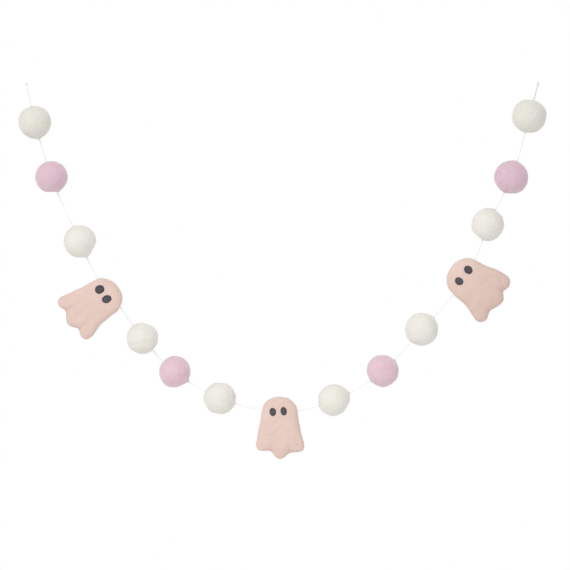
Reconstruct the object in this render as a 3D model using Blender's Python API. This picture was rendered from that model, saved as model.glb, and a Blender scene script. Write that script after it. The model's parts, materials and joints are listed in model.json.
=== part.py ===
# Felt ball garland: wool felt balls and flat felt ghosts threaded on one thin white string.
# Metres, +Z up. The origin is the left end of the string, the right end lies on +X at the same
# height, and the ghosts look along -Y.
import math

import bmesh
import bpy
from mathutils import Vector
from mathutils.bvhtree import BVHTree

MM = 0.001

# The string, and the clearance that every piece threaded on it keeps all round.
STRING_WIDTH = 1.2 * MM
STRING_POINTS = 80
CURVE_STEPS = 24
BORE_CLEARANCE = 0.35 * MM
GAP = 0.3 * MM
WELD_DISTANCE = 0.01 * MM

# The route of the string, hanging from its two ends: the balls' centres, and where it goes into
# and out of each ghost's head. Millimetres from the left end.
STOPS = (
    # name, x, z
    ("left_end", 0.0, 0.0),
    ("cream_ball_1", 6.7, -29.6),
    ("pink_ball_1", 19.5, -71.8),
    ("cream_ball_2", 41.4, -121.4),
    ("into_ghost_left", 54.2, -148.5),
    ("out_of_ghost_left", 72.5, -172.3),
    ("cream_ball_3", 89.6, -196.2),
    ("pink_ball_2", 114.7, -222.1),
    ("cream_ball_4", 149.5, -242.4),
    ("into_ghost_middle", 180.8, -251.0),
    ("out_of_ghost_middle", 209.6, -251.9),
    ("cream_ball_5", 237.4, -243.8),
    ("pink_ball_3", 275.0, -221.3),
    ("cream_ball_6", 305.2, -189.3),
    ("into_ghost_right", 327.9, -164.3),
    ("out_of_ghost_right", 346.8, -133.6),
    ("cream_ball_7", 356.2, -108.6),
    ("pink_ball_4", 374.3, -72.0),
    ("cream_ball_8", 388.2, -24.8),
    ("right_end", 394.9, 0.0),
)

# The balls are hand rolled, so no two are alike. Millimetres and degrees. The nub is the little peak
# of felt that the needle drew out where the string leaves the ball. Each ball has one flatter
# spot, at this angle clockwise from the viewer's right, pressed in by this depth.
BALLS = (
    # name, across the string, along it, height of the nub, angle of the flat spot, its depth
    ("cream_ball_1", 25.6, 25.6, 1.3, 120, 0.5),
    ("pink_ball_1", 25.7, 25.3, 1.4, 90, 1.2),
    ("cream_ball_2", 25.3, 25.4, 1.5, 25, 0.8),
    ("cream_ball_3", 24.6, 24.3, 0.4, 285, 0.5),
    ("pink_ball_2", 25.3, 24.4, 1.7, 65, 0.6),
    ("cream_ball_4", 24.9, 25.3, 0.6, 270, 0.9),
    ("cream_ball_5", 24.3, 25.5, 1.4, 30, 0.9),
    ("pink_ball_3", 25.4, 25.4, 0.6, 120, 0.5),
    ("cream_ball_6", 25.6, 26.0, 0.7, 0, 0.3),
    ("cream_ball_7", 25.1, 26.0, 1.0, 135, 1.0),
    ("pink_ball_4", 26.9, 26.4, 0.4, 200, 0.4),
    ("cream_ball_8", 25.9, 25.7, 0.5, 0, 0.5),
)
BALL_SEGMENTS = 20
BALL_RINGS = 14
NUB_WIDTH = 4.4 * MM

# The felt's unevenness: hollows and swellings of this spacing and height, all over.
LUMP_SPACING = 8 * MM
LUMP_HEIGHT = 1.3 * MM

# The ghosts, each in its own frame: across to the viewer's right, up to the crown, from the
# middle of the eye line. Millimetres and degrees; turn is clockwise as the viewer sees it.
GHOSTS = {
    "ghost_left": {
        "x": 60.1,
        "z": -162.4,
        "turn": 53.2,
        "crown": 12.2,
        "sides": (
            # up, left edge, right edge
            (-1.0, -13.5, 16.5),
            (-9.0, -14.6, 16.6),
            (-17.0, -16.0, 17.3),
            (-24.0, -17.5, 19.6),
        ),
        "hem": (
            # across, up, from left to right: corner, lobe, notch, lobe, notch, lobe, corner
            (-18.2, -28.8),
            (-16.6, -32.4),
            (-13.2, -33.3),
            (-7.4, -31.0),
            (-4.2, -33.6),
            (0.2, -36.2),
            (5.0, -34.9),
            (9.9, -31.1),
            (12.6, -32.8),
            (16.4, -33.6),
            (19.8, -31.6),
            (20.5, -28.2),
        ),
    },
    "ghost_middle": {
        "x": 194.9,
        "z": -252.7,
        "turn": -2.1,
        "crown": 11.6,
        "sides": (
            (-1.0, -13.4, 14.6),
            (-9.0, -15.0, 15.3),
            (-16.0, -16.6, 16.3),
            (-22.0, -18.0, 17.7),
        ),
        "hem": (
            (-18.6, -26.6),
            (-16.4, -29.6),
            (-11.4, -30.0),
            (-6.6, -30.3),
            (-4.8, -33.8),
            (-2.2, -36.4),
            (0.1, -37.3),
            (2.4, -36.1),
            (4.9, -33.4),
            (7.6, -31.9),
            (12.4, -31.7),
            (17.2, -30.9),
            (19.0, -27.2),
        ),
    },
    "ghost_right": {
        "x": 337.6,
        "z": -148.1,
        "turn": -51.3,
        "crown": 11.9,
        "sides": (
            (-1.0, -15.7, 15.4),
            (-9.0, -16.3, 17.0),
            (-17.0, -16.9, 19.6),
            (-24.0, -19.5, 21.0),
        ),
        "hem": (
            (-21.0, -29.4),
            (-19.4, -33.0),
            (-15.8, -34.9),
            (-12.2, -33.8),
            (-9.2, -32.3),
            (-5.4, -33.7),
            (-1.0, -35.5),
            (3.0, -36.2),
            (6.4, -34.4),
            (9.8, -30.8),
            (12.6, -32.0),
            (16.4, -32.1),
            (20.0, -30.0),
            (21.3, -26.2),
        ),
    },
}
GHOST_THICKNESS = 12 * MM
GHOST_OUTLINE_POINTS = 52
GHOST_MIDDLE = (0.5 * MM, -12 * MM)
FACE_CROWN = 0.5 * MM
DOME_STEPS = 8

# The ghost's section from rim to middle: how far each ring of the felt has come in, as a share
# of the way out from the middle, and how far the ring has been evened out.
PAD_RINGS = (
    # reach, rounds of evening
    (0.985, 0),
    (0.95, 0),
    (0.89, 1),
    (0.80, 2),
    (0.66, 4),
    (0.40, 8),
)
RIM_REACH = 0.62
RIM_SHARPNESS = 2.3

# The eyes: dark wool, needled on to the face in low domes. Millimetres and degrees.
EYES = (
    # name, ghost, across, up, width, height, lean
    ("left_eye_of_ghost_left", "ghost_left", -4.9, -0.2, 6.6, 7.3, 12),
    ("right_eye_of_ghost_left", "ghost_left", 4.3, -0.3, 5.9, 7.5, 13),
    ("left_eye_of_ghost_middle", "ghost_middle", -4.6, 0.0, 5.0, 6.3, -5),
    ("right_eye_of_ghost_middle", "ghost_middle", 3.8, 0.3, 4.8, 6.4, -9),
    ("left_eye_of_ghost_right", "ghost_right", -5.6, 0.4, 5.6, 6.7, -2),
    ("right_eye_of_ghost_right", "ghost_right", 5.6, 0.4, 5.8, 6.9, 2),
)
EYE_DOME = 1.1 * MM
EYE_SEGMENTS = 14
EYE_RINGS = 8

# The knot that finishes each end of the string.
KNOT_WIDTH = 3.0 * MM
KNOT_LENGTH = 3.4 * MM
KNOT_SEGMENTS = 12
KNOT_RINGS = 8


# Scene, collections and materials

def clear_scene():
    for thing in list(bpy.data.objects):
        bpy.data.objects.remove(thing, do_unlink=True)


def new_collection(name):
    collection = bpy.data.collections.new(name)
    bpy.context.scene.collection.children.link(collection)
    return collection


def principled(name, colour, roughness):
    material = bpy.data.materials.new(name)
    material.use_nodes = True
    shader = material.node_tree.nodes["Principled BSDF"]
    shader.inputs["Base Color"].default_value = (*colour, 1.0)
    shader.inputs["Roughness"].default_value = roughness
    shader.inputs["Metallic"].default_value = 0.0
    material.diffuse_color = (*colour, 1.0)
    return material


def lump_texture():
    texture = bpy.data.textures.new("felt_lumps", "CLOUDS")
    texture.noise_scale = LUMP_SPACING
    texture.noise_depth = 1
    return texture


def add_object(name, mesh, collection, material):
    thing = bpy.data.objects.new(name, mesh)
    mesh.materials.append(material)
    mesh.shade_smooth()
    collection.objects.link(thing)
    return thing


def add_lumps(thing, texture):
    lumps = thing.modifiers.new("Lumps", "DISPLACE")
    lumps.texture = texture
    lumps.texture_coords = "GLOBAL"
    lumps.strength = LUMP_HEIGHT
    lumps.mid_level = 0.5


def add_bore(thing, cutter):
    bore = thing.modifiers.new("Bore", "BOOLEAN")
    bore.operation = "DIFFERENCE"
    bore.solver = "EXACT"
    bore.object = cutter


# The string

def stop_places():
    return {name: Vector((x * MM, 0.0, z * MM)) for name, x, z in STOPS}


def smooth_through(points, steps, closed=False):
    """Points along a smooth curve through the given ones, with tangents weighted by distance."""
    count = len(points)

    def tangent(i):
        if not closed and i in (0, count - 1):
            near = points[1] - points[0] if i == 0 else points[-1] - points[-2]
            return near / near.length
        before, here, after = points[i - 1], points[i], points[(i + 1) % count]
        back, forth = (here - before), (after - here)
        slope = back / back.length * forth.length + forth / forth.length * back.length
        return slope / (back.length + forth.length)

    curve = []
    for i in range(count if closed else count - 1):
        start, end = points[i], points[(i + 1) % count]
        span = (end - start).length
        out, into = tangent(i) * span, tangent((i + 1) % count) * span
        for step in range(steps):
            t = step / steps
            curve.append(
                start * (2 * t**3 - 3 * t**2 + 1)
                + out * (t**3 - 2 * t**2 + t)
                + end * (3 * t**2 - 2 * t**3)
                + into * (t**3 - t**2)
            )
    if not closed:
        curve.append(points[-1].copy())
    return curve


def lengths_along(points):
    total = [0.0]
    for before, after in zip(points, points[1:]):
        total.append(total[-1] + (after - before).length)
    return total


def evenly_spaced(points, count, start=0.0, end=0.0, closed=False):
    """Points at equal distances along a line, leaving out a stretch at its start and its end."""
    if closed:
        points = points + [points[0]]
    total = lengths_along(points)
    gaps = count if closed else count - 1
    spaced, k = [], 0
    for i in range(count):
        at = start + (total[-1] - start - end) * i / gaps
        while k < len(total) - 2 and total[k + 1] < at:
            k += 1
        share = (at - total[k]) / (total[k + 1] - total[k])
        spaced.append(points[k].lerp(points[k + 1], share))
    return spaced


def string_points():
    curve = smooth_through(list(stop_places().values()), CURVE_STEPS)
    end = KNOT_LENGTH / 2 + GAP
    return evenly_spaced(curve, STRING_POINTS, end, end)


def tube(name, points, width, collection):
    curve = bpy.data.curves.new(name, "CURVE")
    curve.dimensions = "3D"
    curve.bevel_depth = width / 2
    curve.bevel_resolution = 2
    curve.use_fill_caps = True
    spline = curve.splines.new("POLY")
    spline.points.add(len(points) - 1)
    for point, place in zip(spline.points, points):
        point.co = (*place, 1.0)
    thing = bpy.data.objects.new(name, curve)
    collection.objects.link(thing)
    return thing


def make_string(points, collection, material):
    string = tube("string", points, STRING_WIDTH, collection)
    string.data.materials.append(material)


def make_bore_cutter(points, collection):
    """The string's own route made wider, as one closed mesh that cuts a bore in each piece."""
    guide = tube("string_way", points, STRING_WIDTH + 2 * BORE_CLEARANCE, collection)
    graph = bpy.context.evaluated_depsgraph_get()
    mesh = bpy.data.meshes.new_from_object(guide.evaluated_get(graph))
    shape = bmesh.new()
    shape.from_mesh(mesh)
    bmesh.ops.remove_doubles(shape, verts=shape.verts, dist=WELD_DISTANCE)
    shape.to_mesh(mesh)
    shape.free()
    cutter = bpy.data.objects.new("bore_cutter", mesh)
    cutter.matrix_world = guide.matrix_world
    cutter.hide_render = True
    cutter.display_type = "WIRE"
    collection.objects.link(cutter)
    bpy.data.objects.remove(guide, do_unlink=True)
    return cutter


# Balls and knots

def egg(segments, rings, across, along, nub=0.0):
    """A sphere pulled to its two sizes, along being its Z, with a nub at its +Z pole."""
    shape = bmesh.new()
    bmesh.ops.create_uvsphere(shape, u_segments=segments, v_segments=rings, radius=0.5)
    for vertex in shape.verts:
        vertex.co.x *= across
        vertex.co.y *= across
        vertex.co.z *= along
        if vertex.co.z > 0:
            off_axis = math.hypot(vertex.co.x, vertex.co.y)
            vertex.co.z += nub * math.exp(-((2 * off_axis / NUB_WIDTH) ** 2))
    return shape


def string_direction(name):
    """The direction of the string at a stop, from the stops on either side."""
    names = [stop[0] for stop in STOPS]
    places = stop_places()
    i = names.index(name)
    before = places[names[max(i - 1, 0)]]
    after = places[names[min(i + 1, len(names) - 1)]]
    return (after - before).normalized()


def turn_to_string(shape, name):
    turn = string_direction(name).to_track_quat("Z", "Y").to_matrix()
    bmesh.ops.rotate(shape, verts=shape.verts, matrix=turn)


def press_flat(shape, angle, reach):
    """Presses the shape in to a flat spot at this distance from its middle."""
    towards = Vector((math.cos(math.radians(angle)), 0.0, -math.sin(math.radians(angle))))
    for vertex in shape.verts:
        vertex.co -= towards * max(vertex.co.dot(towards) - reach, 0.0)


def finished_mesh(shape, name):
    bmesh.ops.recalc_face_normals(shape, faces=shape.faces)
    mesh = bpy.data.meshes.new(name)
    shape.to_mesh(mesh)
    shape.free()
    return mesh


def make_ball(row, collection, materials, texture, cutter):
    name, across, along, nub, flat_angle, flat_depth = row
    shape = egg(BALL_SEGMENTS, BALL_RINGS, across * MM, along * MM, nub * MM)
    turn_to_string(shape, name)
    press_flat(shape, flat_angle, (across / 2 - flat_depth) * MM)
    material = materials["cream"] if name.startswith("cream") else materials["pink"]
    ball = add_object(name, finished_mesh(shape, name), collection, material)
    ball.location = stop_places()[name]
    add_lumps(ball, texture)
    add_bore(ball, cutter)


def make_knot(name, stop, collection, material):
    shape = egg(KNOT_SEGMENTS, KNOT_RINGS, KNOT_WIDTH, KNOT_LENGTH)
    turn_to_string(shape, stop)
    knot = add_object(name, finished_mesh(shape, name), collection, material)
    knot.location = stop_places()[stop]


# Ghosts

def ghost_outline(sizes):
    """The ghost's edge: a dome over the shoulders, straight flaring sides and a lobed hem."""
    shoulder, left, right = sizes["sides"][0]
    middle, half = (left + right) / 2, (right - left) / 2
    edge = []
    for step in range(DOME_STEPS + 1):
        angle = math.pi * step / DOME_STEPS
        up = shoulder + (sizes["crown"] - shoulder) * math.sin(angle)
        edge.append((middle + half * math.cos(angle), up))
    edge += [(left_edge, up) for up, left_edge, right_edge in sizes["sides"][1:]]
    edge += sizes["hem"]
    edge += [(right_edge, up) for up, left_edge, right_edge in reversed(sizes["sides"][1:])]
    points = [Vector((across * MM, 0.0, up * MM)) for across, up in edge]
    curve = smooth_through(points, CURVE_STEPS, closed=True)
    return evenly_spaced(curve, GHOST_OUTLINE_POINTS, closed=True)


def evened(points, rounds):
    """The same closed line with each point drawn towards its two neighbours."""
    for _ in range(rounds):
        count = len(points)
        points = [
            (points[i - 1] + points[i] * 2 + points[(i + 1) % count]) / 4 for i in range(count)
        ]
    return points


def pad_depth(reach):
    """How far the felt's face stands from its middle plane, at this share of the way out."""
    inside = max((reach - RIM_REACH) / (1 - RIM_REACH), 0.0)
    rim = (1 - inside**RIM_SHARPNESS) ** (1 / RIM_SHARPNESS)
    return (GHOST_THICKNESS / 2 - FACE_CROWN) * rim + FACE_CROWN * (1 - reach)


def ghost_mesh(name, sizes):
    """A pad lofted from rim to middle, on its front and its back."""
    outline = ghost_outline(sizes)
    middle = Vector((GHOST_MIDDLE[0], 0.0, GHOST_MIDDLE[1]))
    shape = bmesh.new()
    rim = [shape.verts.new(point) for point in outline]
    for side in (-1, 1):
        outer = rim
        for reach, rounds in PAD_RINGS:
            depth = Vector((0.0, side * pad_depth(reach), 0.0))
            inner = [
                shape.verts.new(middle + (point - middle) * reach + depth)
                for point in evened(outline, rounds)
            ]
            for i in range(len(inner)):
                shape.faces.new((outer[i - 1], outer[i], inner[i], inner[i - 1]))
            outer = inner
        centre = shape.verts.new(middle + Vector((0.0, side * pad_depth(0.0), 0.0)))
        for i in range(len(outer)):
            shape.faces.new((outer[i - 1], outer[i], centre))
    return finished_mesh(shape, name)


def make_ghost(name, sizes, collection, material, texture, cutter):
    ghost = add_object(name, ghost_mesh(name, sizes), collection, material)
    ghost.location = (sizes["x"] * MM, 0.0, sizes["z"] * MM)
    ghost.rotation_euler = (0.0, math.radians(sizes["turn"]), 0.0)
    add_lumps(ghost, texture)
    add_bore(ghost, cutter)
    return ghost


# Eyes

def make_eye(row, ghosts, collection, material):
    """A low dome whose underside follows the felt of the face, a hair's breadth off it."""
    name, ghost_name, across, up, width, height, lean = row
    ghost = ghosts[ghost_name]
    face = BVHTree.FromObject(ghost, bpy.context.evaluated_depsgraph_get())
    tilt = math.radians(lean)
    shape = bmesh.new()
    bmesh.ops.create_uvsphere(shape, u_segments=EYE_SEGMENTS, v_segments=EYE_RINGS, radius=1.0)
    for vertex in shape.verts:
        side, top, rise = vertex.co.x, vertex.co.y, max(vertex.co.z, 0.0)
        x = side * width / 2 * math.cos(tilt) + top * height / 2 * math.sin(tilt)
        z = top * height / 2 * math.cos(tilt) - side * width / 2 * math.sin(tilt)
        start = Vector(((across + x) * MM, -GHOST_THICKNESS * 2, (up + z) * MM))
        hit = face.ray_cast(start, Vector((0.0, 1.0, 0.0)))[0]
        vertex.co = hit - Vector((0.0, GAP + EYE_DOME * rise, 0.0))
    eye = add_object(name, finished_mesh(shape, name), collection, material)
    eye.parent = ghost


def main():
    clear_scene()
    garland = new_collection("felt_ball_garland")
    cutters = new_collection("cutters")
    materials = {
        "cream": principled("cream_felt", (0.83, 0.81, 0.74), 0.95),
        "pink": principled("pink_felt", (0.78, 0.55, 0.63), 0.95),
        "ghost": principled("peach_felt", (0.79, 0.58, 0.50), 0.95),
        "eye": principled("charcoal_wool", (0.08, 0.08, 0.09), 0.9),
        "string": principled("white_string", (0.88, 0.88, 0.86), 0.8),
    }
    lumps = lump_texture()
    points = string_points()
    make_string(points, garland, materials["string"])
    cutter = make_bore_cutter(points, cutters)
    make_knot("left_end_knot", "left_end", garland, materials["string"])
    make_knot("right_end_knot", "right_end", garland, materials["string"])
    for row in BALLS:
        make_ball(row, garland, materials, lumps, cutter)
    ghosts = {}
    for name, sizes in GHOSTS.items():
        ghosts[name] = make_ghost(name, sizes, garland, materials["ghost"], lumps, cutter)
    bpy.context.view_layer.update()
    for row in EYES:
        make_eye(row, ghosts, garland, materials["eye"])


main()
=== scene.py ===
# Felt ball garland: twelve wool felt balls and three felt ghosts threaded on a thin laid string.
# Metres, +Z up. The garland hangs along +X from its left knot, and the ghosts look along -Y.
import json
import math

import bpy
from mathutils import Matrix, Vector

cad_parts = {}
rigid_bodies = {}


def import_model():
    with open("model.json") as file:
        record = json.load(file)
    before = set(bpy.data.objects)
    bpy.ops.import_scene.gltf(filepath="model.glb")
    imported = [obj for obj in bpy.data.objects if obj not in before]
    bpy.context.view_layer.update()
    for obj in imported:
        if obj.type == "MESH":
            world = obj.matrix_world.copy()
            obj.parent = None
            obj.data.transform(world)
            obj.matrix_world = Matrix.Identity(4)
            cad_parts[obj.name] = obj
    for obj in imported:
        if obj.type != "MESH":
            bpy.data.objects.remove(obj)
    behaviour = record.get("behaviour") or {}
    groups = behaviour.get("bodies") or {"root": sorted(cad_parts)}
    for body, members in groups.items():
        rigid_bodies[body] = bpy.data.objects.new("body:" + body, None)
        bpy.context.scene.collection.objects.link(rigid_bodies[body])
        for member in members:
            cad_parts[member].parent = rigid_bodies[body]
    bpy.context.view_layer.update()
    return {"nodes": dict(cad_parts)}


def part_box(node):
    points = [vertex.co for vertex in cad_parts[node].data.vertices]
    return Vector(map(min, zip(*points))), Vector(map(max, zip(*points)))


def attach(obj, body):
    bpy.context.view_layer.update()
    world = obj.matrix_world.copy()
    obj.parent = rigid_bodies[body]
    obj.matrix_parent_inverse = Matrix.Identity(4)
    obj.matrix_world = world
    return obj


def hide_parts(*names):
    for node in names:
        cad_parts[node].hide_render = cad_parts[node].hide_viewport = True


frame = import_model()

mm = 0.001
sameCorner = 0.01 * mm        # corners of a solid that lie this close are one
sameRing = 0.001 * mm        # and points where a swept cord is closed


# Small helpers

def selectOnly(*things):
    bpy.ops.object.select_all(action="DESELECT")
    for thing in things:
        thing.select_set(True)
    bpy.context.view_layer.objects.active = things[-1]


def editAll(piece):
    # edit mode with every point of the piece selected
    selectOnly(piece)
    bpy.ops.object.mode_set(mode="EDIT")
    bpy.ops.mesh.select_all(action="SELECT")


def leaveEdit():
    bpy.ops.object.mode_set(mode="OBJECT")


def applyModifier(piece, kind, **settings):
    modifier = piece.modifiers.new(kind.title(), kind)
    for setting, value in settings.items():
        setattr(modifier, setting, value)
    selectOnly(piece)
    bpy.ops.object.modifier_apply(modifier=modifier.name)


def applyPlace(piece):
    selectOnly(piece)
    bpy.ops.object.transform_apply(location=True, rotation=True, scale=True)


def soften(piece, times):
    applyModifier(piece, "SMOOTH", factor=0.5, iterations=times)


def roughen(piece, texture, height, level=0.5):
    # where the texture is at this level, the surface stays where it is
    applyModifier(
        piece, "DISPLACE", texture=texture, texture_coords="LOCAL",
        strength=height, mid_level=level,
    )


def clouds(name, spacing, depth):
    texture = bpy.data.textures.new(name, "CLOUDS")
    texture.noise_scale = spacing
    texture.noise_depth = depth
    return texture


def solidCopy(node, name):
    # the solid's loose triangles, merged, as the start of a soft piece
    piece = bpy.data.objects.new(name, frame["nodes"][node].data.copy())
    bpy.context.scene.collection.objects.link(piece)
    piece.data.materials.clear()
    editAll(piece)
    bpy.ops.mesh.remove_doubles(threshold=sameCorner)
    leaveEdit()
    return piece


def setTone(piece, tones):
    # a tone for each point, which the materials of the felt and the string read: painted shade on the
    # felt, and grey towards one end of the string
    attribute = piece.data.attributes.new("shadeAndGreyTone", "FLOAT", "POINT")
    attribute.data.foreach_set("value", tones)


finishedPieces = []


def giveOver(piece, slot, material, *nodes):
    # its finish, its body, and the solids that it stands for
    piece.data.materials.clear()
    piece.data.materials.append(material)
    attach(piece, "root")
    if nodes:
        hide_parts(*nodes)
    finishedPieces.append(piece)


# Camera, straight at the wall, as wide as the picture at the garland's own distance

view = {
    "lens": 200.0,
    "sensor": 36.0,
    "pictureWidth": 0.4398,
    "middle": (0.1997, 0.0, -0.1551),
    "clipStart": 0.01,
}


def makeCamera():
    distance = view["pictureWidth"] * view["lens"] / view["sensor"]
    place = Vector(view["middle"]) - Vector((0.0, distance, 0.0))
    bpy.ops.object.camera_add(location=place, rotation=(math.radians(90), 0, 0))
    camera = bpy.context.object
    camera.name = "photoCamera"
    camera.data.lens = view["lens"]
    camera.data.sensor_width = view["sensor"]
    camera.data.clip_start = view["clipStart"]
    bpy.context.scene.camera = camera
    print("camera: %.2f m away" % distance)


# Materials

feltLooks = {
    # deep is the darker tone that the tone attribute mixes in: painted shade, and dust too in
    # creases, fibre that of the strands, and loose and tip those of the fuzz, which is greyer
    "cream": {
        "main": (0.82, 0.80, 0.72),
        "shade": (0.785, 0.76, 0.68),
        "deep": (0.66, 0.63, 0.55),
        "fibre": (0.91, 0.90, 0.865),
        "loose": (0.84, 0.835, 0.81),
        "tip": (0.91, 0.91, 0.91),
        "sheen": 0.9,
    },
    "pink": {
        "main": (0.75, 0.515, 0.60),
        "shade": (0.70, 0.455, 0.545),
        "deep": (0.60, 0.38, 0.47),
        "fibre": (0.86, 0.74, 0.785),
        "loose": (0.82, 0.72, 0.765),
        "tip": (0.91, 0.89, 0.90),
        "sheen": 0.9,
    },
    "peach": {
        "main": (0.775, 0.57, 0.50),
        "shade": (0.74, 0.535, 0.465),
        "deep": (0.62, 0.43, 0.36),
        "fibre": (0.87, 0.74, 0.69),
        "loose": (0.80, 0.64, 0.58),
        "tip": (0.89, 0.81, 0.77),
        "sheen": 0.5,
    },
    "charcoal": {
        "main": (0.10, 0.096, 0.108),
        "shade": (0.065, 0.062, 0.07),
        "deep": (0.03, 0.028, 0.032),
        "fibre": (0.165, 0.162, 0.185),
        "loose": (0.085, 0.082, 0.092),
        "tip": (0.15, 0.148, 0.165),
        "sheen": 0.45,
    },
}
strands = {
    "spacing": 0.5 * mm,
    "stretch": 5.0,        # how much longer than wide
    "halfWidth": 0.035,        # share of the noise's range
    "detail": 1,
    "waviness": 1.4,
    # how each layer of strands is turned, in degrees
    "turns": [(30, 80, 0), (-30, 35, 0), (30, -10, 0), (-30, -55, 0)],
}
finishes = {
    # by the names of the shader's own settings
    "felt": {"Roughness": 0.95, "Specular IOR Level": 0.15, "Sheen Roughness": 0.4},
    "fuzz": {"Roughness": 0.9, "Specular IOR Level": 0.2, "Sheen Weight": 0.2},
    "string": {
        "Roughness": 0.85,
        "Specular IOR Level": 0.25,
        "Sheen Weight": 1.0,
        "Sheen Roughness": 0.4,
    },
    "floor": {"Roughness": 0.9, "Specular IOR Level": 0.1},
}


def addNode(tree, kind, **settings):
    node = tree.nodes.new(kind)
    for setting, value in settings.items():
        setattr(node, setting, value)
    return node


def noiseNode(tree, place, spacing, detail, waviness=0.0):
    noise = addNode(tree, "ShaderNodeTexNoise")
    noise.inputs["Scale"].default_value = 1 / spacing
    noise.inputs["Detail"].default_value = detail
    noise.inputs["Distortion"].default_value = waviness
    tree.links.new(place, noise.inputs["Vector"])
    return noise.outputs[0]


def spreadNode(tree, value, low, high, top=1.0):
    # stretches the middle of a noise over 0 to top
    spread = addNode(tree, "ShaderNodeMapRange")
    spread.inputs["From Min"].default_value = low
    spread.inputs["From Max"].default_value = high
    spread.inputs["To Max"].default_value = top
    tree.links.new(value, spread.inputs["Value"])
    return spread.outputs["Result"]


def mixNode(tree, share, first, second):
    mix = addNode(tree, "ShaderNodeMix", data_type="RGBA")
    tree.links.new(share, mix.inputs[0])
    for socket, colour in ((mix.inputs[6], first), (mix.inputs[7], second)):
        if isinstance(colour, tuple):
            socket.default_value = (*colour, 1.0)
        else:
            tree.links.new(colour, socket)
    return mix.outputs[2]


def bumpNode(tree, height, strength, distance, under=None):
    bump = addNode(tree, "ShaderNodeBump")
    bump.inputs["Strength"].default_value = strength
    bump.inputs["Distance"].default_value = distance
    tree.links.new(height, bump.inputs["Height"])
    if under is not None:
        tree.links.new(under, bump.inputs["Normal"])
    return bump.outputs["Normal"]


def toneNode(tree):
    # what setTone gave each point
    return addNode(tree, "ShaderNodeAttribute", attribute_name="shadeAndGreyTone").outputs["Fac"]


def newMaterial(name, finish):
    material = bpy.data.materials.new(name)
    material.use_nodes = True
    tree = material.node_tree
    shader = tree.nodes["Principled BSDF"]
    for setting, value in finishes[finish].items():
        shader.inputs[setting].default_value = value
    place = addNode(tree, "ShaderNodeTexCoord").outputs["Object"]
    return material, tree, shader, place


def mathNode(tree, operation, first, second=None):
    step = addNode(tree, "ShaderNodeMath", operation=operation)
    for socket, value in zip(step.inputs, (first, second)):
        if isinstance(value, float):
            socket.default_value = value
        elif value is not None:
            tree.links.new(value, socket)
    return step.outputs[0]


# Crossing layers of long thin lines, where a stretched noise passes through its middle value
def strandNodes(tree, place):
    together = None
    for turn in strands["turns"]:
        turned = addNode(tree, "ShaderNodeMapping", vector_type="TEXTURE")
        turned.inputs["Rotation"].default_value = [math.radians(angle) for angle in turn]
        turned.inputs["Scale"].default_value = (1.0, 1.0, strands["stretch"])
        tree.links.new(place, turned.inputs["Vector"])
        noise = noiseNode(
            tree, turned.outputs[0], strands["spacing"], strands["detail"], strands["waviness"]
        )
        off = mathNode(tree, "ABSOLUTE", mathNode(tree, "SUBTRACT", noise, 0.5))
        line = mathNode(tree, "SUBTRACT", 1.0, spreadNode(tree, off, 0.0, strands["halfWidth"]))
        together = line if together is None else mathNode(tree, "MAXIMUM", together, line)
    return together


feltSurface = {
    "detail": 3,
    "patchSpacing": 7 * mm,
    "patchWaviness": 0.4,
    "patchRange": (0.35, 0.7),        # of the noise, from the main tone to the second one
    "strandShare": 0.5,        # of the strands' tone where they show
    # spacing, waviness and height of the pills, and of the matting between them
    "bumps": [(1.4 * mm, 0.5, 0.5 * mm), (0.35 * mm, 1.0, 0.12 * mm)],
    "strandHeight": 0.05 * mm,
    "strength": 0.5,        # of each bump
}


# Matted wool: soft patches of a second tone, paler strands across it, and a woolly bump
def feltMaterial(colour):
    look, surface = feltLooks[colour], feltSurface
    material, tree, shader, place = newMaterial(colour + "Felt", "felt")
    patches = noiseNode(
        tree, place, surface["patchSpacing"], surface["detail"], surface["patchWaviness"]
    )
    patchShare = spreadNode(tree, patches, *surface["patchRange"])
    tone = mixNode(tree, patchShare, look["main"], look["shade"])
    # painted shade where the tone attribute rises
    tone = mixNode(tree, toneNode(tree), tone, look["deep"])
    lines = strandNodes(tree, place)
    lineShare = mathNode(tree, "MULTIPLY", lines, surface["strandShare"])
    tree.links.new(mixNode(tree, lineShare, tone, look["fibre"]), shader.inputs["Base Color"])
    relief = None
    for spacing, waviness, height in surface["bumps"]:
        noise = noiseNode(tree, place, spacing, surface["detail"], waviness)
        relief = bumpNode(tree, noise, surface["strength"], height, relief)
    relief = bumpNode(tree, lines, surface["strength"], surface["strandHeight"], relief)
    tree.links.new(relief, shader.inputs["Normal"])
    shader.inputs["Sheen Weight"].default_value = look["sheen"]
    return material


fuzzSurface = {
    "detail": 2,
    "spacing": 1.2 * mm,
    "range": (0.35, 0.65),        # of the noise, from the loose tone to the tips'
}


# Loose fibres: paler than the felt they stand on, each a little different
def fuzzMaterial(colour):
    look, surface = feltLooks[colour], fuzzSurface
    material, tree, shader, place = newMaterial(colour + "Fuzz", "fuzz")
    noise = noiseNode(tree, place, surface["spacing"], surface["detail"])
    share = spreadNode(tree, noise, *surface["range"])
    tree.links.new(mixNode(tree, share, look["loose"], look["tip"]), shader.inputs["Base Color"])
    return material


stringSurface = {
    "white": (0.985, 0.985, 0.98),
    "cast": (0.95, 0.955, 0.96),
    # grey that the string turns towards its right end
    "endGrey": (0.73, 0.73, 0.75),
    "fibre": (0.99, 0.99, 0.985),
    "castSpacing": 22 * mm,
    "castDetail": 2,
    "castRange": (0.35, 0.65),        # of the noise, from white to the cast
    "fibreSpacing": 0.35 * mm,
    "fibreDetail": 4,
    "fibreWaviness": 1.0,
    "fibreRange": (0.4, 0.7),
    "fibreShare": 0.5,        # of the fibres' tone at most
    "fibreHeight": 0.04 * mm,
    "strength": 0.3,        # of the bump
}
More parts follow.
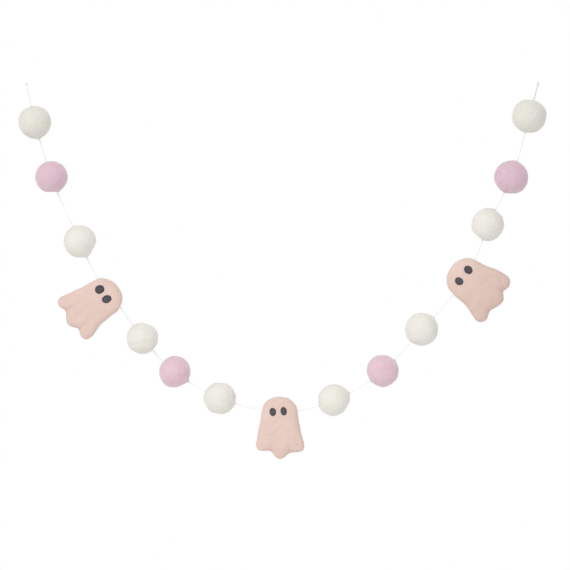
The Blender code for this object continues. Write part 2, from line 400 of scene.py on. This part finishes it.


# Cotton string: white, with a grey cast in places and fine fibres, and greyer towards its right end
def stringMaterial():
    surface = stringSurface
    material, tree, shader, place = newMaterial("whiteString", "string")
    patches = noiseNode(tree, place, surface["castSpacing"], surface["castDetail"])
    fibres = noiseNode(
        tree, place, surface["fibreSpacing"], surface["fibreDetail"], surface["fibreWaviness"]
    )
    castShare = spreadNode(tree, patches, *surface["castRange"])
    tone = mixNode(tree, castShare, surface["white"], surface["cast"])
    # greyer towards the right end, where the tone attribute rises
    tone = mixNode(tree, toneNode(tree), tone, surface["endGrey"])
    fibreShare = spreadNode(tree, fibres, *surface["fibreRange"], surface["fibreShare"])
    tone = mixNode(tree, fibreShare, tone, surface["fibre"])
    tree.links.new(tone, shader.inputs["Base Color"])
    relief = bumpNode(tree, fibres, surface["strength"], surface["fibreHeight"])
    tree.links.new(relief, shader.inputs["Normal"])
    return material


# String: three plies laid together, along the same route as its solid

string = {
    "width": 1.2 * mm,
    "plies": 3,
    "pointsPerPly": 5,
    "pressed": 0.6,        # share of the groove between two plies that is filled
    "layLength": 4.2 * mm,        # one turn of a ply
    "ringEvery": 0.42 * mm,
    "curveSteps": 24,
    "knotRoom": 1.0 * mm,        # from the end of the string to the middle of its knot
    "drawnOver": 4,        # rings over which a knot's string thins
    "greyFrom": 386 * mm,        # x where the string starts to turn grey
    "greyTo": 391 * mm,        # and where it is full
}
stringStops = [
    # name, x, z, in mm from the left end
    ("left_end", 0.0, 0.0),
    ("cream_ball_1", 6.7, -29.6),
    ("pink_ball_1", 19.5, -71.8),
    ("cream_ball_2", 41.4, -121.4),
    ("into_ghost_left", 54.2, -148.5),
    ("out_of_ghost_left", 72.5, -172.3),
    ("cream_ball_3", 89.6, -196.2),
    ("pink_ball_2", 114.7, -222.1),
    ("cream_ball_4", 149.5, -242.4),
    ("into_ghost_middle", 180.8, -251.0),
    ("out_of_ghost_middle", 209.6, -251.9),
    ("cream_ball_5", 237.4, -243.8),
    ("pink_ball_3", 275.0, -221.3),
    ("cream_ball_6", 305.2, -189.3),
    ("into_ghost_right", 327.9, -164.3),
    ("out_of_ghost_right", 346.8, -133.6),
    ("cream_ball_7", 356.2, -108.6),
    ("pink_ball_4", 374.3, -72.0),
    ("cream_ball_8", 388.2, -24.8),
    ("right_end", 394.9, 0.0),
]
stopNames = [name for name, x, z in stringStops]
stopPlaces = [Vector((x * mm, 0.0, z * mm)) for name, x, z in stringStops]


def smoothThrough(points, steps):
    # a smooth line through the points, its directions weighted by distance
    last = len(points) - 1

    def direction(i):
        if i in (0, last):
            near = points[1] - points[0] if i == 0 else points[last] - points[last - 1]
            return near.normalized()
        back, forth = points[i] - points[i - 1], points[i + 1] - points[i]
        slope = back.normalized() * forth.length + forth.normalized() * back.length
        return slope / (back.length + forth.length)

    line = []
    for i in range(last):
        span = (points[i + 1] - points[i]).length
        out, into = direction(i) * span, direction(i + 1) * span
        for step in range(steps):
            t = step / steps
            line.append(
                points[i] * (2 * t**3 - 3 * t**2 + 1) + out * (t**3 - 2 * t**2 + t)
                + points[i + 1] * (3 * t**2 - 2 * t**3) + into * (t**3 - t**2)
            )
    line.append(points[last].copy())
    return line


def lineLength(line):
    return sum((b - a).length for a, b in zip(line, line[1:]))


def spaced(line, every, trim=0.0):
    # points at equal distances along the line, leaving out a stretch at each end
    whole = lineLength(line) - 2 * trim
    count = round(whole / every)
    points, k, passed = [], 0, 0.0
    for i in range(count + 1):
        at = trim + whole * i / count
        while k < len(line) - 2 and passed + (line[k + 1] - line[k]).length < at:
            passed += (line[k + 1] - line[k]).length
            k += 1
        step = line[k + 1] - line[k]
        points.append(line[k] + step * ((at - passed) / step.length))
    return points


def makePlyOutline():
    # the outline of three round plies pressed together
    plies = string["plies"]
    toMiddle = 1 / math.sin(math.pi / plies)        # from the string's middle, in ply radii
    plyRadius = string["width"] / 2 / (1 + toMiddle)
    outline = bpy.data.curves.new("plyOutline", "CURVE")
    spline = outline.splines.new("POLY")
    perPly = string["pointsPerPly"]
    spline.points.add(plies * perPly - 1)
    for i, point in enumerate(spline.points):
        off = ((i % perPly + 0.5) / perPly - 0.5) * 2 * math.pi / plies
        reach = toMiddle * math.cos(off) + math.sqrt(1 - (toMiddle * math.sin(off)) ** 2)
        around = (i // perPly) * 2 * math.pi / plies + off
        radius = reach * plyRadius
        radius += (string["width"] / 2 - radius) * string["pressed"]
        point.co = (radius * math.cos(around), radius * math.sin(around), 0.0, 1.0)
    spline.use_cyclic_u = True
    thing = bpy.data.objects.new("plyOutline", outline)
    bpy.context.scene.collection.objects.link(thing)
    return thing


def makeLaidCord(name, points, outline, drawn=1.0):
    # drawn is how thin the cord is pulled past its first few rings
    curve = bpy.data.curves.new(name, "CURVE")
    curve.dimensions = "3D"
    curve.bevel_mode = "OBJECT"
    curve.bevel_object = outline
    curve.use_fill_caps = True
    spline = curve.splines.new("POLY")
    spline.points.add(len(points) - 1)
    passed = 0.0
    for i, place in enumerate(points):
        passed += (place - points[i - 1]).length if i else 0.0
        spline.points[i].co = (*place, 1.0)
        spline.points[i].radius = 1 + (drawn - 1) * min(i / string["drawnOver"], 1.0)
        spline.points[i].tilt = 2 * math.pi * passed / string["layLength"]
    cord = bpy.data.objects.new(name, curve)
    bpy.context.scene.collection.objects.link(cord)
    selectOnly(cord)
    bpy.ops.object.convert(target="MESH")
    cord = bpy.context.object
    editAll(cord)
    bpy.ops.mesh.remove_doubles(threshold=sameRing)
    bpy.ops.mesh.normals_make_consistent(inside=False)
    leaveEdit()
    bpy.ops.object.shade_smooth()
    return cord


def setGreyEnd(piece):
    # greyer towards the right end of the string
    span = string["greyTo"] - string["greyFrom"]
    shares = [(vertex.co.x - string["greyFrom"]) / span for vertex in piece.data.vertices]
    setTone(piece, [min(max(share, 0.0), 1.0) for share in shares])


def makeString(outline, material):
    route = smoothThrough(stopPlaces, string["curveSteps"])
    rings = spaced(route, string["ringEvery"], string["knotRoom"])
    piece = makeLaidCord("garland_string", rings, outline)
    setGreyEnd(piece)
    giveOver(piece, "string", material, "string")
    print("string: %.3f m long" % lineLength(rings))
    return piece, rings


# Knots: an overhand knot at each end, pulled tight, with a short tail

knot = {
    # mm from the knot's middle, up being away from the garland
    "route": [
        (0.0, 0.0, -1.7),
        (-0.1, 0.1, -0.6),
        (0.05, 0.3, 0.25),
        (0.5, 0.2, 0.75),
        (0.72, -0.35, 0.5),
        (0.35, -0.75, 0.05),
        (-0.3, -0.72, -0.35),
        (-0.72, -0.2, -0.65),
        (-0.6, 0.5, -0.6),
        (0.0, 0.8, -0.42),
        (0.6, 0.55, -0.25),
        (0.7, -0.05, -0.15),
        (0.3, -0.3, 0.25),
        (0.0, -0.1, 0.8),
        (0.0, 0.0, 1.3),
        (0.05, 0.0, 1.9),
    ],
    "drawn": 0.75,
    "steps": 8,
    "ringEvery": 0.25 * mm,
}


def makeKnot(stop, neighbour, outline, material):
    middle = stopPlaces[stopNames.index(stop)]
    away = (middle - stopPlaces[stopNames.index(neighbour)]).normalized()
    turn = away.to_track_quat("Z", "Y")
    route = [middle + turn @ (Vector(point) * mm) for point in knot["route"]]
    rings = spaced(smoothThrough(route, knot["steps"]), knot["ringEvery"])
    piece = makeLaidCord(stop + "_overhand_knot", rings, outline, knot["drawn"])
    setGreyEnd(piece)
    giveOver(piece, "string", material, stop + "_knot")
    return piece


# Balls: hand rolled wool, so no two are alike

ball = {
    "subdivisions": 6,
    "nubReach": 3.8,        # mm round the string's way out that the needle drew up
    "flatSoftening": 6,
    "lumpSpacing": 8 * mm,
    "lumpHeight": 0.95 * mm,
    "dimpleSpacing": 2.6 * mm,
    "dimpleHeight": 0.45 * mm,
    "grainSpacing": 0.9 * mm,
    "grainHeight": 0.16 * mm,
    "boreWidth": 1.5 * mm,
    "boreResolution": 3,
    "boreEvery": 6,        # rings of the string to one of the bore
    "sharpFrom": 50,        # degrees between two faces, as at the rim of the bore
    "fuzzRoom": {"cream": 0.15, "pink": 0.35},        # mm of the ball's radius that is fuzz
}
ballSizes = {
    # across the string, along it, height of the nub, flat spot clockwise from the right, its depth
    "cream_ball_1": (25.6, 25.5, 0.9, 120, 0.5),
    "pink_ball_1": (25.7, 25.3, 1.2, 90, 1.2),
    "cream_ball_2": (25.3, 25.2, 1.1, 25, 0.9),
    "cream_ball_3": (24.6, 24.3, 0.3, 285, 0.5),
    "pink_ball_2": (25.4, 24.5, 1.3, 65, 0.9),
    "cream_ball_4": (25.0, 25.1, 0.3, 270, 0.9),
    "cream_ball_5": (24.5, 25.2, 1.0, 30, 0.9),
    "pink_ball_3": (25.5, 25.3, 0.5, 120, 0.5),
    "cream_ball_6": (25.6, 26.0, 0.5, 0, 0.3),
    "cream_ball_7": (25.1, 25.9, 0.7, 135, 1.0),
    "pink_ball_4": (26.9, 26.5, 0.3, 90, 0.8),
    "cream_ball_8": (26.7, 26.4, 0.3, 270, 0.6),
}
ballShadeTones = {
    # the tone attribute, painted shade, most on the balls high at the two ends where less light falls
    "cream_ball_1": 0.45,
    "pink_ball_1": 0.25,
    "cream_ball_2": 0.03,
    "cream_ball_3": 0.0,
    "pink_ball_2": 0.0,
    "cream_ball_4": 0.05,
    "cream_ball_5": 0.0,
    "pink_ball_3": 0.0,
    "cream_ball_6": 0.04,
    "cream_ball_7": 0.06,
    "pink_ball_4": 0.45,
    "cream_ball_8": 0.42,
}


def makeBoreCutter(rings):
    # the string's way through the felt
    curve = bpy.data.curves.new("boreCutter", "CURVE")
    curve.dimensions = "3D"
    curve.bevel_depth = ball["boreWidth"] / 2
    curve.bevel_resolution = ball["boreResolution"]
    curve.use_fill_caps = True
    spline = curve.splines.new("POLY")
    coarse = rings[::ball["boreEvery"]] + [rings[-1]]
    spline.points.add(len(coarse) - 1)
    for point, place in zip(spline.points, coarse):
        point.co = (*place, 1.0)
    cutter = bpy.data.objects.new("boreCutter", curve)
    bpy.context.scene.collection.objects.link(cutter)
    selectOnly(cutter)
    bpy.ops.object.convert(target="MESH")
    cutter = bpy.context.object
    editAll(cutter)
    bpy.ops.mesh.remove_doubles(threshold=sameRing)
    leaveEdit()
    return cutter


def makeBall(name, colour, textures, cutter):
    across, along, nub, flatAngle, flatDepth = ballSizes[name]
    across -= 2 * ball["fuzzRoom"][colour]
    along -= 2 * ball["fuzzRoom"][colour]
    stop = stopNames.index(name)
    bpy.ops.object.select_all(action="DESELECT")
    bpy.ops.mesh.primitive_ico_sphere_add(subdivisions=ball["subdivisions"], radius=0.5)
    piece = bpy.context.object
    piece.name = name + "_felt"
    editAll(piece)
    bpy.ops.transform.resize(value=(across * mm, across * mm, along * mm))
    bpy.ops.mesh.select_all(action="DESELECT")
    leaveEdit()
    top = max(piece.data.vertices, key=lambda vertex: vertex.co.z)
    top.select = True
    bpy.ops.object.mode_set(mode="EDIT")
    bpy.ops.transform.translate(
        value=(0, 0, nub * mm), use_proportional_edit=True,
        proportional_edit_falloff="SMOOTH", proportional_size=ball["nubReach"] * mm,
    )
    leaveEdit()
    piece.rotation_mode = "QUATERNION"
    piece.rotation_quaternion = (stopPlaces[stop + 1] - stopPlaces[stop - 1]).to_track_quat("Z", "Y")
    applyPlace(piece)
    angle = math.radians(flatAngle)
    towards = Vector((math.cos(angle), 0.0, -math.sin(angle)))
    reach = (across / 2 - flatDepth) * mm
    for vertex in piece.data.vertices:        # pressed in to its flat spot
        vertex.co -= towards * max(vertex.co.dot(towards) - reach, 0.0)
    piece.location = stopPlaces[stop]
    applyPlace(piece)
    soften(piece, ball["flatSoftening"])
    for size in ("lump", "dimple", "grain"):
        roughen(piece, textures[size], ball[size + "Height"])
    applyModifier(piece, "BOOLEAN", operation="DIFFERENCE", solver="EXACT", object=cutter)
    # painted shade, the same all over each ball
    setTone(piece, [ballShadeTones[name]] * len(piece.data.vertices))
    selectOnly(piece)
    bpy.ops.object.shade_smooth_by_angle(angle=math.radians(ball["sharpFrom"]))
    return piece


# Ghosts: thick needled pads, from the solids, with soft creases up from the notches of the hem

ghost = {
    "voxel": 0.5 * mm,
    "softening": 30,
    "pitSpacing": 1.7 * mm,
    "pitHeight": 0.35 * mm,
    "pitLevel": 0.0,        # so that the pits also make up for what the softening takes away
    "eyeDip": 0.5 * mm,        # how far the felt is drawn in round an eye
    "eyeDipReach": 1.5,        # in eye widths
    "underEye": 0.25,        # share of the dip past which no fuzz grows
    "creaseShadeAndDust": 0.2,        # tone in a crease for each mm of its depth, painted shade with dust caught in the crease
    "toneFrom": 8.0,        # mm above the eye line, where the painted shade of the hem starts
    "toneTo": -26.0,        # and where it is full
}
ghostPlaces = {
    # x and z of the middle of the eye line in mm, and the turn clockwise in degrees
    "ghost_left": (60.1, -162.4, 53.2),
    "ghost_middle": (194.9, -252.7, -2.1),
    "ghost_right": (337.6, -148.1, -51.3),
}
# painted shade from the eye line down to the hem, most on the right ghost, where the light is weaker
ghostHemShades = {"ghost_left": 0.1, "ghost_middle": 0.05, "ghost_right": 0.55}
ghostCreases = {
    # from across and up, to across and up, depth, width, all in mm in the ghost's own frame
    "ghost_left": [
        (-7.4, -31.5, -6.0, -17.0, 1.0, 1.7),
        (10.2, -31.5, 8.2, -15.0, 1.0, 1.8),
        (-12.5, -24.0, -10.0, -8.0, 0.45, 2.2),
    ],
    "ghost_middle": [
        (-6.6, -31.0, -6.2, -19.0, 1.0, 1.7),
        (7.8, -32.5, 6.4, -18.0, 1.0, 1.7),
        (-13.0, -26.0, -10.8, -6.0, 0.45, 2.2),
        (13.5, -26.0, 11.5, -6.0, 0.45, 2.2),
    ],
    "ghost_right": [
        (-9.2, -33.0, -7.6, -19.0, 1.0, 1.8),
        (9.8, -31.5, 8.0, -15.0, 1.0, 1.8),
        (15.0, -24.0, 11.0, -10.0, 0.45, 2.2),
    ],
}
eyeSides = ("left", "right")


def pressCreases(piece, name):
    # soft troughs on both faces, deepest at the hem and running out up the body
    x, z, turn = ghostPlaces[name]
    cosTurn, sinTurn = math.cos(math.radians(turn)), math.sin(math.radians(turn))
    tones = []
    for vertex in piece.data.vertices:
        right, rise = vertex.co.x / mm - x, vertex.co.z / mm - z
        across, up = right * cosTurn - rise * sinTurn, right * sinTurn + rise * cosTurn
        depth = 0.0
        for startAcross, startUp, endAcross, endUp, deep, wide in ghostCreases[name]:
            along = Vector((endAcross - startAcross, endUp - startUp))
            here = Vector((across - startAcross, up - startUp))
            share = min(max(here.dot(along) / along.length_squared, 0.0), 1.0)
            off = (here - along * share).length
            depth += deep * (1 - share) * math.exp(-((off / wide) ** 2))
        vertex.co.y -= depth * mm * vertex.normal.y
        # painted shade, darker towards the hem
        low = (ghost["toneFrom"] - up) / (ghost["toneFrom"] - ghost["toneTo"])
        hemShade = ghostHemShades[name] * min(max(low, 0.0), 1.0)
        # and in the creases painted shade, with dust caught in them
        tones.append(min(hemShade + ghost["creaseShadeAndDust"] * depth, 1.0))
    setTone(piece, tones)


def drawInRoundEyes(piece, name):
    underEye = piece.vertex_groups.new(name="underEye")
    for side in eyeSides:
        low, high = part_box(side + "_eye_of_" + name)
        middle, half = (low + high) / 2, (high - low) / 2
        for vertex in piece.data.vertices:
            if vertex.co.y < 0:
                across, up = (vertex.co - middle).x / half.x, (vertex.co - middle).z / half.z
                share = max(1 - math.hypot(across, up) ** 2 / ghost["eyeDipReach"] ** 2, 0.0) ** 2
                vertex.co.y += ghost["eyeDip"] * share
                if share > ghost["underEye"]:
                    underEye.add([vertex.index], 1.0, "REPLACE")


def makeGhost(name, textures):
    piece = solidCopy(name, name + "_felt")
    applyModifier(piece, "REMESH", mode="VOXEL", voxel_size=ghost["voxel"])
    soften(piece, ghost["softening"])
    pressCreases(piece, name)
    drawInRoundEyes(piece, name)
    roughen(piece, textures["pit"], ghost["pitHeight"], ghost["pitLevel"])
    selectOnly(piece)
    bpy.ops.object.shade_smooth()
    return piece


# Eyes: dark wool needled into the face in low domes

eye = {
    "sunk": 0.6 * mm,
    "spread": 1.12,        # wool that the needle pushed out past the solid's edge
    "rimShade": 1.0,        # tone at the rim, painted shade round the edge of the dome, which leaves its middle lighter
    "voxel": 0.22 * mm,
    "softening": 14,
    "tuftSpacing": 0.8 * mm,
    "tuftHeight": 0.4 * mm,
}


def makeEye(node, textures):
    piece = solidCopy(node, node + "_wool")
    low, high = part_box(node)
    editAll(piece)
    bpy.ops.transform.resize(
        value=(eye["spread"], 1.0, eye["spread"]), center_override=(low + high) / 2
    )
    bpy.ops.transform.translate(value=(0, eye["sunk"], 0))
    leaveEdit()
    applyModifier(piece, "REMESH", mode="VOXEL", voxel_size=eye["voxel"])
    soften(piece, eye["softening"])
    roughen(piece, textures["tuft"], eye["tuftHeight"])
    middle, half = (low + high) / 2, (high - low) / 2 * eye["spread"]
    # painted shade, darkest at the rim of the dome and lighter in its middle
    tones = []
    for vertex in piece.data.vertices:
        off = math.hypot(
            (vertex.co.x - middle.x) / half.x, (vertex.co.z - middle.z) / half.z
        )
        tones.append(eye["rimShade"] * min(off, 1.0) ** 2)
    setTone(piece, tones)
    selectOnly(piece)
    bpy.ops.object.shade_smooth()
    return piece


# Fuzz: loose fibres all over the felt, as one joined mesh for each ball, ghost and pair of eyes

fuzz = {
    "radius": 0.018 * mm,
    "thinning": 0.72,        # of each step of a fibre to the one before
    "sunk": 0.1 * mm,
    "openBelow": 0.1,        # share of the group underEye, above which no fuzz grows
    "seedStep": 100,        # from one piece of fuzz to the next
    "coatSeedStep": 10,        # and from one of its coats to the next
}
fibreShapes = {
    # the steps of each fibre, in mm: across, sideways, out
    "short": [
        [(0.06, 0.02, 0.26), (0.26, 0.06, 0.12)],
        [(0.02, 0.08, 0.28), (-0.12, 0.26, 0.08)],
        [(-0.04, -0.03, 0.30), (0.16, -0.14, 0.20)],
    ],
    "curled": [
        [(0.08, 0.02, 0.35), (0.25, 0.05, 0.3), (0.4, -0.05, 0.12)],
        [(0.02, 0.1, 0.4), (-0.15, 0.3, 0.25), (-0.35, 0.3, 0.02)],
        [(0.12, -0.05, 0.3), (0.3, 0.12, 0.2), (0.3, 0.35, -0.05)],
        [(-0.05, 0.0, 0.45), (0.1, -0.12, 0.4), (0.3, -0.1, 0.3)],
    ],
}
fuzzCoats = {
    # shapes, fibres in a square mm, shortest and longest in shape lengths, lean in degrees
    "felt": [
        ("short", 0.95, 0.7, 1.3, 10, 75),
        ("curled", 0.20, 0.6, 1.3, 15, 75),
        ("curled", 0.03, 1.7, 2.6, 45, 85),
    ],
    "wool": [
        ("short", 4.0, 0.8, 1.4, 10, 70),
        ("curled", 1.0, 0.5, 1.0, 20, 75),
    ],
}


def makeFibres(kind):
    collection = bpy.data.collections.new(kind + "Fibres")
    for number, steps in enumerate(fibreShapes[kind]):
        bpy.ops.object.select_all(action="DESELECT")
        bpy.ops.mesh.primitive_circle_add(
            vertices=3, radius=fuzz["radius"], fill_type="NGON", location=(0, 0, -fuzz["sunk"])
        )
        fibre = bpy.context.object
        fibre.name = "%s_fibre_%d" % (kind, number)
        editAll(fibre)
        for step in steps:
            bpy.ops.mesh.extrude_region_move(
                TRANSFORM_OT_translate={"value": [size * mm for size in step]}
            )
            bpy.ops.transform.resize(value=(fuzz["thinning"],) * 3)
        bpy.ops.mesh.merge(type="CENTER")
        bpy.ops.mesh.select_all(action="SELECT")
        bpy.ops.mesh.normals_make_consistent(inside=False)
        leaveEdit()
        applyPlace(fibre)
        collection.objects.link(fibre)
    return collection


def coatNodes(tree, source, fibres, coat, seed):
    kind, perSquareMm, shortest, longest, leastLean, mostLean = coat
    underEye = addNode(tree, "GeometryNodeInputNamedAttribute", data_type="FLOAT")
    underEye.inputs["Name"].default_value = "underEye"
    inOpen = addNode(tree, "FunctionNodeCompare", data_type="FLOAT", operation="LESS_THAN")
    inOpen.inputs[1].default_value = fuzz["openBelow"]
    points = addNode(tree, "GeometryNodeDistributePointsOnFaces")
    points.inputs["Density"].default_value = perSquareMm / mm**2
    points.inputs["Seed"].default_value = seed
    shapes = addNode(tree, "GeometryNodeCollectionInfo")
    shapes.inputs["Collection"].default_value = fibres[kind]
    shapes.inputs["Separate Children"].default_value = True
    shapes.inputs["Reset Children"].default_value = True
    size = addNode(tree, "FunctionNodeRandomValue", data_type="FLOAT")
    size.inputs[2].default_value = shortest
    size.inputs[3].default_value = longest
    size.inputs["Seed"].default_value = seed + 1
    lean = addNode(tree, "FunctionNodeRandomValue", data_type="FLOAT_VECTOR")
    lean.inputs[0].default_value = (math.radians(leastLean), 0.0, 0.0)
    lean.inputs[1].default_value = (math.radians(mostLean), 0.0, 2 * math.pi)
    lean.inputs["Seed"].default_value = seed + 2
    fibresOn = addNode(tree, "GeometryNodeInstanceOnPoints")
    fibresOn.inputs["Pick Instance"].default_value = True
    turned = addNode(tree, "GeometryNodeRotateInstances")
    for out, into in (
        (underEye.outputs[0], inOpen.inputs[0]),
        (inOpen.outputs[0], points.inputs["Selection"]),
        (source, points.inputs["Mesh"]),
        (points.outputs["Points"], fibresOn.inputs["Points"]),
        (points.outputs["Rotation"], fibresOn.inputs["Rotation"]),
        (shapes.outputs["Instances"], fibresOn.inputs["Instance"]),
        (size.outputs[1], fibresOn.inputs["Scale"]),
        (fibresOn.outputs["Instances"], turned.inputs["Instances"]),
        (lean.outputs[0], turned.inputs["Rotation"]),
    ):
        tree.links.new(out, into)
    return turned.outputs["Instances"]


def makeFuzz(name, carriers, fibres, coats, seed):
    copies = []
    for carrier in carriers:
        copy = bpy.data.objects.new(name, carrier.data.copy())
        bpy.context.scene.collection.objects.link(copy)
        copies.append(copy)
    selectOnly(*copies)
    if len(copies) > 1:
        bpy.ops.object.join()
    piece = bpy.context.object
    piece.name = name
    tree = bpy.data.node_groups.new(name, "GeometryNodeTree")
    tree.interface.new_socket("Geometry", in_out="INPUT", socket_type="NodeSocketGeometry")
    tree.interface.new_socket("Geometry", in_out="OUTPUT", socket_type="NodeSocketGeometry")
    source = addNode(tree, "NodeGroupInput").outputs[0]
    joined = addNode(tree, "GeometryNodeJoinGeometry")
    for number, coat in enumerate(coats):
        coatSeed = seed + fuzz["coatSeedStep"] * number
        tree.links.new(coatNodes(tree, source, fibres, coat, coatSeed), joined.inputs[0])
    real = addNode(tree, "GeometryNodeRealizeInstances")
    tree.links.new(joined.outputs[0], real.inputs[0])
    tree.links.new(real.outputs[0], addNode(tree, "NodeGroupOutput").inputs[0])
    applyModifier(piece, "NODES", node_group=tree)
    return piece


# Stage: a pale floor far below that runs out into the white round it, and soft light

stage = {
    "floorHeight": -0.75,
    "floorRadius": 1.5,
    "floorSides": 96,
    "floorFade": (0.55, 0.95),        # shares of the radius
    "floorColour": (0.86, 0.86, 0.85),
    "white": 1.0,
    "roomLight": 0.74,
}
lights = {
    # place, size in m, power in W
    "keyLight": ((-1.35, -2.35, 1.95), 1.3, 39.0),
    "lowFill": ((0.20, -0.75, -0.45), 0.25, 0.6),
    "backLight": ((1.00, 1.30, 0.60), 0.8, 3.5),
}


def makeFloor():
    bpy.ops.object.select_all(action="DESELECT")
    place = (view["middle"][0], 0.0, stage["floorHeight"])
    bpy.ops.mesh.primitive_circle_add(
        vertices=stage["floorSides"], radius=stage["floorRadius"], fill_type="NGON",
        location=place,
    )
    floor = bpy.context.object
    floor.name = "paleFloor"
    material, tree, shader, here = newMaterial("paleFloor", "floor")
    shader.inputs["Base Color"].default_value = (*stage["floorColour"], 1.0)
    distance = addNode(tree, "ShaderNodeVectorMath", operation="LENGTH")
    tree.links.new(here, distance.inputs[0])
    near, far = (stage["floorRadius"] * share for share in stage["floorFade"])
    fade = spreadNode(tree, distance.outputs["Value"], near, far)
    clear = addNode(tree, "ShaderNodeBsdfTransparent")
    both = addNode(tree, "ShaderNodeMixShader")
    tree.links.new(fade, both.inputs[0])
    tree.links.new(shader.outputs[0], both.inputs[1])
    tree.links.new(clear.outputs[0], both.inputs[2])
    tree.links.new(both.outputs[0], tree.nodes["Material Output"].inputs["Surface"])
    floor.data.materials.append(material)


def makeRoom():
    # white to look at, a little dimmer as light
    world = bpy.data.worlds.new("whiteRoom")
    world.use_nodes = True
    tree = world.node_tree
    seen = tree.nodes["Background"]
    lit = addNode(tree, "ShaderNodeBackground")
    for light, strength in ((seen, stage["white"]), (lit, stage["roomLight"])):
        light.inputs["Strength"].default_value = strength
        light.inputs["Color"].default_value = (1, 1, 1, 1)
    both = addNode(tree, "ShaderNodeMixShader")
    tree.links.new(addNode(tree, "ShaderNodeLightPath").outputs["Is Camera Ray"], both.inputs[0])
    tree.links.new(lit.outputs[0], both.inputs[1])
    tree.links.new(seen.outputs[0], both.inputs[2])
    tree.links.new(both.outputs[0], tree.nodes["World Output"].inputs["Surface"])
    bpy.context.scene.world = world


def makeLights():
    for name, (place, size, power) in lights.items():
        bpy.ops.object.light_add(type="AREA", location=place)
        light = bpy.context.object
        light.name = name
        light.data.size = size
        light.data.energy = power
        aim = Vector(view["middle"]) - Vector(place)
        light.rotation_euler = aim.to_track_quat("-Z", "Y").to_euler()


# Everything together

makeCamera()
makeFloor()
makeRoom()
makeLights()
bpy.context.scene.view_settings.view_transform = "Standard"
print("stage: floor, room and %d lights" % len(lights))

plyOutline = makePlyOutline()
whiteString = stringMaterial()
stringPiece, stringRings = makeString(plyOutline, whiteString)
knots = [
    makeKnot("left_end", "cream_ball_1", plyOutline, whiteString),
    makeKnot("right_end", "cream_ball_8", plyOutline, whiteString),
]
bpy.data.objects.remove(plyOutline)
print("knots: %d" % len(knots))

textures = {
    "lump": clouds("feltLumps", ball["lumpSpacing"], 1),
    "dimple": clouds("feltDimples", ball["dimpleSpacing"], 2),
    "grain": clouds("feltGrain", ball["grainSpacing"], 1),
    "pit": clouds("needlePits", ghost["pitSpacing"], 2),
    "tuft": clouds("woolTufts", eye["tuftSpacing"], 1),
}
felts = {colour: feltMaterial(colour) for colour in feltLooks}
fuzzes = {colour: fuzzMaterial(colour) for colour in feltLooks}
fibres = {kind: makeFibres(kind) for kind in fibreShapes}
fuzzPieces = []


def coverInFuzz(name, carriers, slot, colour, coats):
    # each piece of fuzz has a seed of its own, in the order that they are made
    seed = fuzz["seedStep"] * (len(fuzzPieces) + 1)
    fuzzPieces.append(makeFuzz(name, carriers, fibres, coats, seed))
    giveOver(fuzzPieces[-1], slot, fuzzes[colour])


cutter = makeBoreCutter(stringRings)
for name in ballSizes:
    colour = name.split("_")[0]
    piece = makeBall(name, colour, textures, cutter)
    giveOver(piece, colour + "_felt", felts[colour], name)
    coverInFuzz(name + "_fuzz", [piece], colour + "_felt", colour, fuzzCoats["felt"])
bpy.data.objects.remove(cutter)
print("balls: %d" % len(ballSizes))

for name in ghostPlaces:
    piece = makeGhost(name, textures)
    giveOver(piece, "peach_felt", felts["peach"], name)
    coverInFuzz(name + "_fuzz", [piece], "peach_felt", "peach", fuzzCoats["felt"])
    wools = []
    for side in eyeSides:
        node = side + "_eye_of_" + name
        wools.append(makeEye(node, textures))
        giveOver(wools[-1], "charcoal_wool", felts["charcoal"], node)
    coverInFuzz(name + "_eye_fuzz", wools, "charcoal_wool", "charcoal", fuzzCoats["wool"])
print("ghosts: %d, with their eyes" % len(ghostPlaces))

for kind in fibres:
    for fibre in list(fibres[kind].objects):
        bpy.data.objects.remove(fibre)
print("fuzz: %d points" % sum(len(piece.data.vertices) for piece in fuzzPieces))
faceCounts = [sum(len(face.vertices) - 2 for face in piece.data.polygons) for piece in finishedPieces]
print("triangles: %d in all, %d in the largest piece" % (sum(faceCounts), max(faceCounts)))
